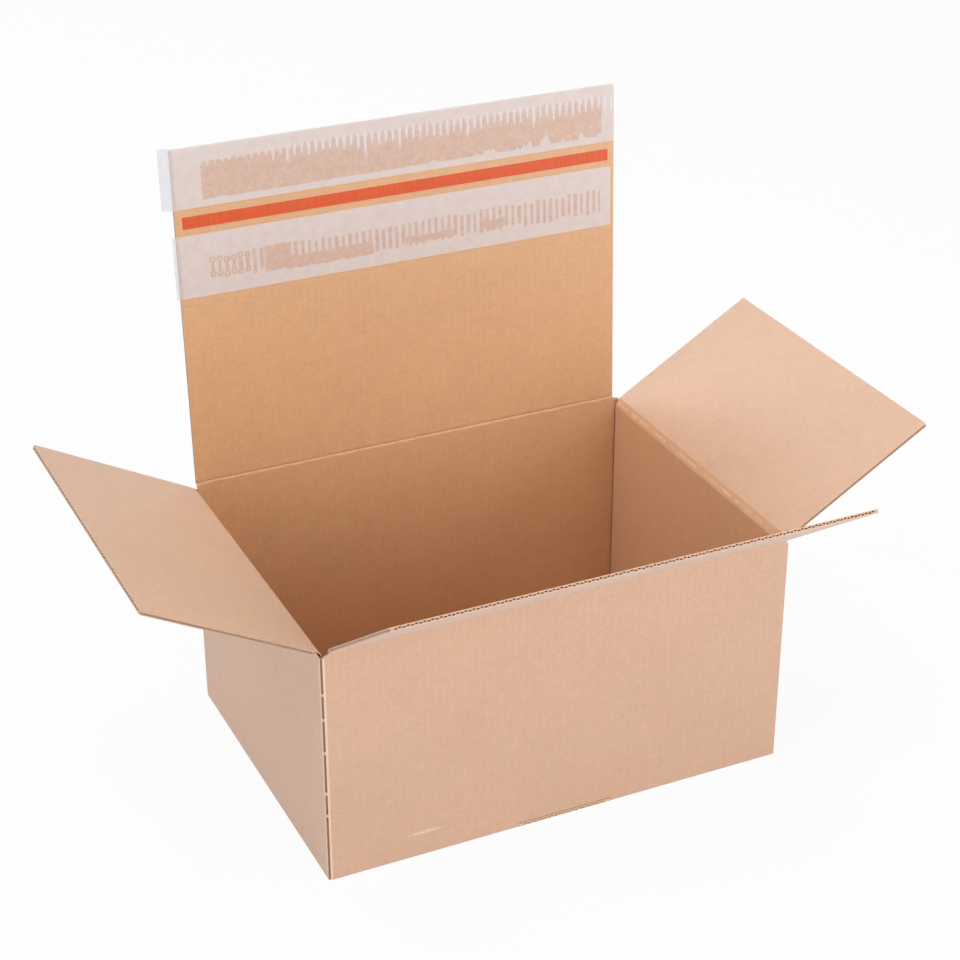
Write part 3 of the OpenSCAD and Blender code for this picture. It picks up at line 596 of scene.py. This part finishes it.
def return_strokes(tree, x, v):
    """Adhesive laid up and down in strokes, run together in a few places. Returns laid, wet, air."""
    turn = add(tree, "ShaderNodeMath", {0: x, 1: FIRST_STROKE}, operation="SUBTRACT").outputs[0]
    turn = add(tree, "ShaderNodeMath", {0: turn, 1: STROKE_PITCH}, operation="DIVIDE").outputs[0]
    stroke = add(tree, "ShaderNodeMath", {0: turn}, operation="ROUND").outputs[0]
    off = add(tree, "ShaderNodeMath", {0: turn, 1: stroke}, operation="SUBTRACT").outputs[0]
    off = add(tree, "ShaderNodeMath", {0: off, 1: STROKE_PITCH}, operation="MULTIPLY").outputs[0]
    luck, other, third = (chance(tree, stroke, seed) for seed in (2.0, 5.0, 9.0))
    upper = add(tree, "ShaderNodeMath", {0: luck, 1: 1.6, 2: 49.4}, operation="MULTIPLY_ADD").outputs[0]
    lower = add(tree, "ShaderNodeMath", {0: other, 1: 1.8, 2: 59.4}, operation="MULTIPLY_ADD").outputs[0]
    half = add(tree, "ShaderNodeMath", {0: third, 1: 0.35, 2: 0.55}, operation="MULTIPLY_ADD").outputs[0]
    # At the left end each stroke swells into a small loop above and below
    ends = []
    for end in (upper, lower):
        end = add(tree, "ShaderNodeMath", {0: v, 1: end}, operation="SUBTRACT").outputs[0]
        ends.append(add(tree, "ShaderNodeMath", {0: end}, operation="ABSOLUTE").outputs[0])
    near = add(tree, "ShaderNodeMath", {0: ends[0], 1: ends[1]}, operation="MINIMUM").outputs[0]
    left = add(tree, "ShaderNodeMapRange", {0: x, 1: -80.0, 2: -70.0, 3: 1.0, 4: 0.0}).outputs[0]
    loop = add(tree, "ShaderNodeMath", {0: band(tree, near, 0.2, 2.3, 0.4), 1: left},
               operation="MULTIPLY").outputs[0]
    half = add(tree, "ShaderNodeMath", {0: loop, 1: 0.65, 2: half}, operation="MULTIPLY_ADD").outputs[0]
    width = add(tree, "ShaderNodeMath", {0: off}, operation="ABSOLUTE").outputs[0]
    line = add(tree, "ShaderNodeMath", {
        0: band(tree, width, -9.0, half, 0.22), 1: band(tree, v, upper, lower, 0.35),
    }, operation="MULTIPLY").outputs[0]
    hole = add(tree, "ShaderNodeMath", {
        0: band(tree, width, -9.0, 0.45, 0.2), 1: band(tree, near, 0.8, 1.8, 0.3),
    }, operation="MULTIPLY").outputs[0]
    hole = add(tree, "ShaderNodeMath", {0: hole, 1: left}, operation="MULTIPLY").outputs[0]
    line = add(tree, "ShaderNodeMath", {0: line, 1: hole}, operation="SUBTRACT").outputs[0]
    line = add(tree, "ShaderNodeMath", {0: line, 1: band(tree, x, *RETURN_ENDS, 0.3)},
               operation="MULTIPLY").outputs[0]
    wander = add(tree, "ShaderNodeTexNoise", {"W": x, "Scale": 0.4, "Detail": 3.0},
                 noise_dimensions="1D").outputs[0]
    wander = add(tree, "ShaderNodeMath", {0: wander, 1: 3.0, 2: -1.5}, operation="MULTIPLY_ADD").outputs[0]
    place = add(tree, "ShaderNodeMath", {0: v, 1: wander}, operation="ADD").outputs[0]
    for start, end, top, bottom in POOLS:
        pool = add(tree, "ShaderNodeMath", {
            0: band(tree, x, start, end, 0.6), 1: band(tree, place, top, bottom, 0.5),
        }, operation="MULTIPLY").outputs[0]
        line = add(tree, "ShaderNodeMath", {0: line, 1: pool}, operation="MAXIMUM").outputs[0]
    return line, line, 0.0


STRIP_INPUTS = {
    "Hinge": "Vector", "Crease direction": "Vector", "Flap direction": "Vector", "Inner direction": "Vector",
    "Low": "Float", "High": "Float", "Near": "Float", "Far": "Float", "Lid length": "Float",
    "Board": "Float", "Adhesive": "Float", "Film": "Float", "Step": "Float", "Overhang": "Float",
    "Spring back": "Float", "Material": "Material",
}


def lid_grid(tree, given):
    """Flat grid over a strip, with the place of each point along the lid and down from its free edge."""
    sizes, middles, counts = [], [], []
    for low, high in ((given["Low"], given["High"]), (given["Near"], given["Far"])):
        sizes.append(add(tree, "ShaderNodeMath", {0: high, 1: low}, operation="SUBTRACT").outputs[0])
        counts.append(cells(tree, sizes[-1], given["Step"]))
        total = add(tree, "ShaderNodeMath", {0: high, 1: low}, operation="ADD").outputs[0]
        middles.append(add(tree, "ShaderNodeMath", {0: total, 1: 0.5}, operation="MULTIPLY").outputs[0])
    grid = add(tree, "GeometryNodeMeshGrid", dict(enumerate(sizes + counts))).outputs[0]
    spot = add(tree, "ShaderNodeSeparateXYZ", {0: add(tree, "GeometryNodeInputPosition").outputs[0]}).outputs
    a = add(tree, "ShaderNodeMath", {0: spot[0], 1: middles[0]}, operation="ADD").outputs[0]
    v = add(tree, "ShaderNodeMath", {0: spot[1], 1: middles[1]}, operation="ADD").outputs[0]
    return grid, a, v


def lid_place(tree, given, a, v, inward):
    """Place on the lid: along its crease, down from its free edge, and inward from its outer face."""
    up = add(tree, "ShaderNodeMath", {0: given["Lid length"], 1: v}, operation="SUBTRACT").outputs[0]
    return moved(tree, given, given["Hinge"], {
        "Crease direction": a, "Flap direction": up, "Inner direction": inward,
    })


def in_millimetres(tree, a, v):
    """Place on the lid in millimetres, from left to right, for the adhesive's pattern."""
    x = add(tree, "ShaderNodeMath", {0: a, 1: -1000.0}, operation="MULTIPLY").outputs[0]
    return x, add(tree, "ShaderNodeMath", {0: v, 1: 1000.0}, operation="MULTIPLY").outputs[0]


def close_sheet(tree, sheet, thickness, mark=None):
    """Give a sheet its thickness and a closed back. A mark, where named, is 1 on the seen side, else 0."""
    back = add(tree, "GeometryNodeFlipFaces", {0: sheet}).outputs[0]
    back = add(tree, "GeometryNodeExtrudeMesh", {
        "Mesh": back, "Offset Scale": thickness, "Individual": False}).outputs[0]
    both = add(tree, "GeometryNodeJoinGeometry")
    for part, seen in ((sheet, 1.0), (back, 0.0)):
        if mark:
            part = add(tree, "GeometryNodeStoreNamedAttribute", {
                0: part, "Name": mark, "Value": seen}, data_type="FLOAT", domain="FACE").outputs[0]
        tree.links.new(part, both.inputs[0])
    return add(tree, "GeometryNodeMergeByDistance", {0: both.outputs[0], "Distance": 1e-6}).outputs[0]


def finish_tree(tree, given, out, shape):
    """Shade a sheet smooth, with sharp edges all round, and end its tree."""
    shape = add(tree, "GeometryNodeSetShadeSmooth", {0: shape}).outputs[0]
    turn = add(tree, "GeometryNodeInputMeshEdgeAngle").outputs[0]
    sharp_turn = 0.9  # about 50 degrees
    sharp = add(tree, "FunctionNodeCompare", {0: turn, 1: sharp_turn}, operation="GREATER_THAN").outputs[0]
    shape = add(tree, "GeometryNodeSetShadeSmooth", {
        0: shape, 1: sharp, "Shade Smooth": False}, domain="EDGE").outputs[0]
    shape = add(tree, "GeometryNodeRealizeInstances", {0: shape}).outputs[0]
    shape = add(tree, "GeometryNodeSetMaterial", {0: shape, "Material": given["Material"]}).outputs[0]
    tree.links.new(shape, out.inputs[0])
    return tree


def adhesive_tree(name, pattern):
    """Hot melt on the lid's inner face, as thick as the adhesive, wherever its pattern lies."""
    tree, given, out = new_tree(name, STRIP_INPUTS)
    grid, a, v = lid_grid(tree, given)
    wet = pattern(tree, *in_millimetres(tree, a, v))[0]
    bare = add(tree, "FunctionNodeCompare", {0: wet, 1: 0.5}, operation="LESS_THAN").outputs[0]
    grid = add(tree, "GeometryNodeDeleteGeometry", {0: grid, 1: bare}, domain="FACE").outputs[0]
    filled = 0.9  # of the adhesive's thickness, so that the film stays clear of its top
    top = add(tree, "ShaderNodeMath", {0: given["Adhesive"], 1: filled, 2: given["Board"]},
              operation="MULTIPLY_ADD").outputs[0]
    place = lid_place(tree, given, a, v, top)
    sheet = add(tree, "GeometryNodeSetPosition", {0: grid, "Position": place}).outputs[0]
    body = add(tree, "ShaderNodeMath", {0: given["Adhesive"], 1: filled}, operation="MULTIPLY").outputs[0]
    return finish_tree(tree, given, out, close_sheet(tree, sheet, body))


def film_tree(name, pattern):
    """Release film: it lies on the adhesive, sinks between it, and springs back past the lid's edge."""
    tree, given, out = new_tree(name, STRIP_INPUTS)
    grid, a, v = lid_grid(tree, given)
    laid, wet, air = pattern(tree, *in_millimetres(tree, a, v))
    held = add(tree, "ShaderNodeMath", {0: air, 1: -0.5, 2: wet}, operation="MULTIPLY_ADD").outputs[0]
    # Past the lid's left edge the film hangs loose, and its colour there gets painted shade
    loose = add(tree, "ShaderNodeMapRange", {0: a, 1: 105.0 * MM, 2: 107.5 * MM, 3: 0.0, 4: 1.0}).outputs[0]
    for label, value in (("wet", held), ("loose", loose)):
        grid = add(tree, "GeometryNodeStoreNamedAttribute", {
            0: grid, "Name": label, "Value": value}, data_type="FLOAT", domain="POINT").outputs[0]
    edge = add(tree, "ShaderNodeMath", {0: given["High"], 1: given["Overhang"]},
               operation="SUBTRACT").outputs[0]
    past = add(tree, "ShaderNodeMath", {0: a, 1: edge}, operation="SUBTRACT").outputs[0]
    past = add(tree, "ShaderNodeMath", {0: past, 1: 0.0}, operation="MAXIMUM").outputs[0]
    back = add(tree, "ShaderNodeMath", {0: given["Spring back"]}, operation="SINE").outputs[0]
    back = add(tree, "ShaderNodeMath", {0: back, 1: past}, operation="MULTIPLY").outputs[0]
    short = add(tree, "ShaderNodeMath", {0: given["Spring back"]}, operation="COSINE").outputs[0]
    short = add(tree, "ShaderNodeMath", {0: 1.0, 1: short}, operation="SUBTRACT").outputs[0]
    short = add(tree, "ShaderNodeMath", {0: short, 1: past}, operation="MULTIPLY").outputs[0]
    a = add(tree, "ShaderNodeMath", {0: a, 1: short}, operation="SUBTRACT").outputs[0]
    # Between the adhesive, the film sinks to 0.3 of its height
    rest = add(tree, "ShaderNodeMath", {0: laid, 1: 0.7, 2: 0.3}, operation="MULTIPLY_ADD").outputs[0]
    rest = add(tree, "ShaderNodeMath", {0: rest, 1: loose}, operation="MAXIMUM").outputs[0]
    height = add(tree, "ShaderNodeMath", {0: rest, 1: given["Adhesive"], 2: given["Board"]},
                 operation="MULTIPLY_ADD").outputs[0]
    height = add(tree, "ShaderNodeMath", {0: height, 1: given["Film"]}, operation="ADD").outputs[0]
    height = add(tree, "ShaderNodeMath", {0: height, 1: back}, operation="SUBTRACT").outputs[0]
    place = lid_place(tree, given, a, v, height)
    sheet = add(tree, "GeometryNodeSetPosition", {0: grid, "Position": place}).outputs[0]
    return finish_tree(tree, given, out, close_sheet(tree, sheet, given["Film"], "front"))


# Sizes and colours that a user would change

class CartonBoard(bpy.types.PropertyGroup):
    """Board, and the colours of its liners and its wavy paper"""
    board_t: FloatProperty(name="Board", description="Thickness of the board", default=1.6 * MM, **LENGTH)
    mitre: FloatProperty(name="Crease gap", description="Play on each side of a crease",
                         default=0.15 * MM, **LENGTH)
    flute_pitch: FloatProperty(name="Flute pitch", description="Distance from one flute to the next",
                               default=3.3 * MM, **LENGTH)
    outer_light: FloatVectorProperty(name="Outer paper, light", description="Lighter tone of the outer liner",
                                     default=linear("#c99975")[:3], **COLOUR)
    outer_dark: FloatVectorProperty(name="Outer paper, dark", description="Darker tone of the outer liner",
                                    default=linear("#b78661")[:3], **COLOUR)
    inner_light: FloatVectorProperty(name="Inner paper, light", description="Lighter tone of the inner liner",
                                     default=linear("#d39a5d")[:3], **COLOUR)
    inner_dark: FloatVectorProperty(name="Inner paper, dark", description="Darker tone of the inner liner",
                                    default=linear("#c1894e")[:3], **COLOUR)
    flute_paper: FloatVectorProperty(name="Flute paper", description="Wavy paper inside the board",
                                     default=linear("#a97a54")[:3], **COLOUR)


class CartonCrease(bpy.types.PropertyGroup):
    """Creased liner at the four folds"""
    land: FloatProperty(name="Land", description="How far the crease's band runs onto wall and flap",
                        default=0.8 * MM, **LENGTH)
    groove_depth: FloatProperty(name="Groove depth", description="Depth of the groove that the rule pressed",
                                default=0.25 * MM, **LENGTH)
    groove_width: FloatProperty(name="Groove width", description="Width of that groove",
                                default=1.2 * MM, **LENGTH)
    rows: IntProperty(name="Rows", description="Rows of points across a crease", default=31, min=8, max=60)


class CartonStrips(bpy.types.PropertyGroup):
    """Adhesives and release liners on the lid"""
    lid_l: FloatProperty(name="Reach", description="From the lid's crease to the closing liner's far edge",
                         default=155.4 * MM, **LENGTH)
    adhesive_t: FloatProperty(name="Adhesive", description="Thickness of the adhesive",
                              default=0.15 * MM, **LENGTH)
    liner_t: FloatProperty(name="Film", description="Thickness of the release film",
                           default=0.1 * MM, **LENGTH)
    closing_liner_w: FloatProperty(name="Closing liner", description="Width of the closing liner",
                                   default=27.3 * MM, **LENGTH)
    closing_overhang: FloatProperty(name="Closing overhang",
                                    description="How far the closing liner sticks out",
                                    default=5.2 * MM, **LENGTH)
    closing_past_right: FloatProperty(name="Closing liner past",
                                      description="How far it passes the lid's right edge",
                                      default=0.6 * MM, **LENGTH)
    return_from_edge: FloatProperty(name="Return liner's place",
                                    description="Distance from the lid's free edge",
                                    default=39.3 * MM, **LENGTH)
    return_liner_w: FloatProperty(name="Return liner", description="Width of the return liner",
                                  default=28.3 * MM, **LENGTH)
    return_overhang: FloatProperty(name="Return overhang", description="How far the return liner sticks out",
                                   default=1.8 * MM, **LENGTH)
    return_inset: FloatProperty(name="Return inset", description="From its right end to the lid's right edge",
                                default=1.6 * MM, **LENGTH)
    spring_back: FloatProperty(name="Spring back", description="Angle of the liners' loose ends",
                               default=math.radians(24), subtype="ANGLE")
    step: FloatProperty(name="Mesh step", description="Size of the strips' mesh cells",
                        default=0.4 * MM, **LENGTH)


class CartonStage(bpy.types.PropertyGroup):
    """Camera and lights"""
    lens: FloatProperty(name="Lens", description="Focal length for a 36 mm sensor",
                        default=83.59, subtype="DISTANCE_CAMERA")
    place: FloatVectorProperty(name="Camera", description="Place of the camera",
                               subtype="TRANSLATION", size=3, default=(-0.36593, -0.77821, 0.58312))
    yaw: FloatProperty(name="Turn", description="Camera's turn from the front",
                       default=math.radians(25.07), subtype="ANGLE")
    pitch: FloatProperty(name="Pitch", description="How far the camera looks down",
                         default=math.radians(27.89), subtype="ANGLE")
    roll: FloatProperty(name="Roll", description="Camera's roll",
                        default=math.radians(0.093), subtype="ANGLE")
    room: FloatProperty(name="Room light", description="Strength of the white room's light", default=0.02)
    front: FloatProperty(name="Front light", description="Power of the large light in front", default=22.0)
    left: FloatProperty(name="Left light", description="Power of the large light at the upper left",
                        default=10.5)
    top: FloatProperty(name="Top light", description="Power of the large light overhead", default=19.0)
    low: FloatProperty(name="Low light", description="Power of the low light at the front right", default=8.5)
    far: FloatProperty(name="Far light", description="Power of the low light far to the left", default=19.4)
    behind: FloatProperty(name="Back light", description="Power of the light behind the carton", default=17.0)


def hinges():
    """Each flap's hinge, by the flap's name."""
    board = bpy.context.scene.carton_board
    return {flap: Hinge(flap, board.board_t, board.mitre) for flap in FLAPS}


class CARTON_OT_board(bpy.types.Operator):
    """Give the walls, the bottom and the four flaps their kraft board"""
    bl_idname = "carton.board"
    bl_label = "Kraft board"

    def execute(self, context):
        finish_solid("carton", kraft_board("kraft_walls"))
        for flap, hinge in hinges().items():
            finish_solid(flap, kraft_board("kraft_" + flap, hinge, painted_sheen=PAINTED_SHEEN.get(flap, 0.0)))
        return {"FINISHED"}


class CARTON_OT_creases(bpy.types.Operator):
    """Lay the creased liner between each wall and its flap, inside and outside"""
    bl_idname = "carton.creases"
    bl_label = "Creases"

    def execute(self, context):
        board, crease = context.scene.carton_board, context.scene.carton_crease
        tree = crease_tree()
        gap = board.board_t + board.mitre
        for flap, hinge in hinges().items():
            pressed = flap == "lid"
            # Painted sheen half way between the wall's inner liner and the flap's
            paper = kraft_board("kraft_crease_" + flap, strip=True, painted_sheen=0.5 * PAINTED_SHEEN.get(flap, 0.0))
            # Closed, the lid and the front flap pass close by these two folds, so their liner is tight
            bulge = 0.15 if flap in ("front_flap", "right_flap") else 0.75
            reach = gap + board.board_t * math.tan((hinge.open - math.pi / 2) / 2)
            common = {
                "Low": hinge.low, "High": hinge.high, "Wall direction": UP, "Flap direction": hinge.along,
                "Crease direction": hinge.axis, "Height": hinge.place.z, "Lift": 0.02 * MM, "Step": 0.4 * MM,
                "Depth": board.board_t, "Material": paper,
            }
            inside = grow(flap + "_inner_crease", tree, {
                **common, "Wall edge": hinge.wall_edge, "Flap edge": hinge.flap_edge, "Land": crease.land,
                "Round": bulge * reach, "Thickness": 0.2 * MM, "Side": 1.0, "Flat width": 2 * gap,
                "Groove depth": crease.groove_depth if pressed else 0.2 * crease.groove_depth,
                "Groove width": crease.groove_width, "Rows": crease.rows, "Wear and highlight": 0.25 if pressed else 0.55,
            })
            # Outside, the liner bridges the V between the two boards' outer edges
            half = 3 * board.mitre
            wall_edge, flap_edge = hinge.place - half * UP, hinge.place + half * hinge.along
            outside = grow(flap + "_outer_crease", tree, {
                **common, "Wall edge": wall_edge, "Flap edge": flap_edge, "Land": 0.3 * MM,
                "Round": 0.6 * half, "Thickness": 0.1 * MM, "Side": -1.0, "Flat width": 2 * half,
                "Groove depth": 0.0 if flap == "front_flap" else 0.15 * MM,
                "Groove width": 0.4 * MM, "Rows": 11, "Wear and highlight": 0.0,
            })
            for piece, start, end in ((inside, hinge.wall_edge, hinge.flap_edge),
                                      (outside, wall_edge, flap_edge)):
                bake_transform(piece)
        return {"FINISHED"}


class CARTON_OT_strips(bpy.types.Operator):
    """Give the adhesives, the release liners and the tear strip their finishes"""
    bl_idname = "carton.strips"
    bl_label = "Strips on the lid"

    def execute(self, context):
        board, strips, lid = context.scene.carton_board, context.scene.carton_strips, hinges()["lid"]
        finish_solid("tear_strip", tear_tape())
        glue, film = hot_melt(), release_film()
        common = {
            "Hinge": lid.place, "Crease direction": lid.axis, "Flap direction": lid.along,
            "Inner direction": lid.inner, "Lid length": strips.lid_l, "Board": board.board_t,
            "Adhesive": strips.adhesive_t, "Film": strips.liner_t, "Step": strips.step,
            "Overhang": 0.0, "Spring back": strips.spring_back,
        }
        returned = strips.return_from_edge
        for name, pattern, near, far, low, overhang in (
            ("closing", closing_smear, 0.0, strips.closing_liner_w,
             lid.low - strips.closing_past_right, strips.closing_overhang),
            ("return", return_strokes, returned, returned + strips.return_liner_w,
             lid.low + strips.return_inset, strips.return_overhang),
        ):
            bead = grow(name + "_hot_melt", adhesive_tree(name + "_hot_melt", pattern), {
                **common, "Low": -99.0 * MM, "High": 94.5 * MM, "Near": near + 4 * MM, "Far": far - 2 * MM,
                "Material": glue,
            })
            sheet = grow(name + "_release_film", film_tree(name + "_release_film", pattern), {
                **common, "Low": low, "High": lid.high + overhang, "Near": near, "Far": far,
                "Overhang": overhang, "Material": film,
            })
            for piece, node, slot in ((bead, name + "_adhesive", "hot_melt"),
                                      (sheet, name + "_liner", "release_film")):
                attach(piece, "lid")
                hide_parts(node)
        return {"FINISHED"}


class CARTON_OT_stage(bpy.types.Operator):
    """Set the pale floor, the soft studio lights, the white room and the camera"""
    bl_idname = "carton.stage"
    bl_label = "Studio"

    def execute(self, context):
        stage = context.scene.carton_stage
        self.camera(stage)
        self.floor()
        self.room(stage)
        self.lamp("front_softbox", (0.3, -2.2, 1.2), stage.front)
        self.lamp("left_softbox", (-1.6, -0.3, 1.8), stage.left)
        self.lamp("top_softbox", (0, 0, 2.3), stage.top)
        self.lamp("low_softbox", (0.9, -1.15, 0.42), stage.low, 0.8)
        self.lamp("far_softbox", (-2.2, -0.6, 0.8), stage.far)
        self.lamp("back_softbox", (-0.3, 1.7, 1.7), stage.behind)
        context.scene.view_settings.view_transform = "Standard"
        return {"FINISHED"}

    def camera(self, stage):
        """Camera, turned, tilted and rolled as its settings say."""
        sin, cos = math.sin, math.cos
        level = cos(stage.pitch)
        ahead = Vector((sin(stage.yaw) * level, cos(stage.yaw) * level, -sin(stage.pitch)))
        right = Vector((cos(stage.yaw), -sin(stage.yaw), 0))
        down = ahead.cross(right)
        across = cos(stage.roll) * right + sin(stage.roll) * down
        below = cos(stage.roll) * down - sin(stage.roll) * right
        turn = Matrix((across, -below, -ahead)).transposed().to_4x4()
        data = bpy.data.cameras.new("camera")
        data.lens = stage.lens
        data.sensor_width = 36
        data.clip_start = 0.01
        camera = new_object("camera", data)
        camera.matrix_world = Matrix.Translation(Vector(stage.place)) @ turn
        bpy.context.scene.camera = camera

    def floor(self):
        """White paper that all but vanishes and keeps the carton's shadow."""
        mesh = bpy.data.meshes.new("floor")
        half = 3
        mesh.from_pydata([(-half, -half, 0), (half, -half, 0), (half, half, 0), (-half, half, 0)], [],
                         [(0, 1, 2, 3)])
        floor = new_object("floor", mesh)
        material, tree = new_material("white_paper_sweep")
        seen = self.seen(tree)
        paper = add(tree, "ShaderNodeBsdfDiffuse", {"Color": linear("#f4f4f4")}).outputs[0]
        white = add(tree, "ShaderNodeEmission", {"Color": WHITE, "Strength": 1.0}).outputs[0]
        share = add(tree, "ShaderNodeMath", {0: seen, 1: 0.93}, operation="MULTIPLY").outputs[0]
        mixed = add(tree, "ShaderNodeMixShader", {0: share, 1: paper, 2: white}).outputs[0]
        add(tree, "ShaderNodeOutputMaterial", {0: mixed})
        mesh.materials.append(material)

    def seen(self, tree):
        """Share of white for rays that come straight, by reflection or through film from the camera."""
        path = add(tree, "ShaderNodeLightPath").outputs
        seen = path["Is Camera Ray"]
        for kind in ("Is Glossy Ray", "Is Transmission Ray"):
            seen = add(tree, "ShaderNodeMath", {0: seen, 1: path[kind]}, operation="MAXIMUM").outputs[0]
        return seen

    def room(self, stage):
        """White behind the carton, and little light from it."""
        world = bpy.data.worlds.new("white_room")
        world.use_nodes = True
        tree = world.node_tree
        tree.nodes.clear()
        strength = add(tree, "ShaderNodeMapRange", {
            0: self.seen(tree), 1: 0, 2: 1, 3: stage.room, 4: 1}).outputs[0]
        glow = add(tree, "ShaderNodeBackground", {"Color": WHITE, "Strength": strength}).outputs[0]
        add(tree, "ShaderNodeOutputWorld", {0: glow})
        bpy.context.scene.world = world

    def lamp(self, name, place, power, size=1.4):
        """Round softbox that points at the carton's lower middle."""
        data = bpy.data.lights.new(name, "AREA")
        data.shape = "DISK"
        data.size = size
        data.energy = power
        lamp = new_object(name, data)
        lamp.location = place
        lamp.rotation_euler = (Vector((0, 0, 0.08)) - Vector(place)).to_track_quat("-Z", "Y").to_euler()


class CARTON_PT_panel(bpy.types.Panel):
    """Sizes, colours and steps of the carton"""
    bl_label = "Shipping carton"
    bl_idname = "CARTON_PT_panel"
    bl_space_type = "VIEW_3D"
    bl_region_type = "UI"
    bl_category = "Carton"

    def draw(self, context):
        for group in GROUPS:
            settings = getattr(context.scene, group)
            column = self.layout.column()
            for name in settings.bl_rna.properties.keys():
                if name not in ("rna_type", "name"):
                    column.prop(settings, name)
        for step in STEPS:
            self.layout.operator(step.bl_idname)


GROUPS = {
    "carton_board": CartonBoard, "carton_crease": CartonCrease,
    "carton_strips": CartonStrips, "carton_stage": CartonStage,
}
STEPS = (CARTON_OT_board, CARTON_OT_creases, CARTON_OT_strips, CARTON_OT_stage)


def register():
    for kind in (*GROUPS.values(), *STEPS, CARTON_PT_panel):
        bpy.utils.register_class(kind)
    for name, kind in GROUPS.items():
        setattr(bpy.types.Scene, name, PointerProperty(type=kind))


def unregister():
    for name in GROUPS:
        delattr(bpy.types.Scene, name)
    for kind in reversed((*GROUPS.values(), *STEPS, CARTON_PT_panel)):
        bpy.utils.unregister_class(kind)


def main():
    register()
    bpy.ops.carton.board()
    bpy.ops.carton.creases()
    bpy.ops.carton.strips()
    bpy.ops.carton.stage()


if __name__ == "__main__":
    main()
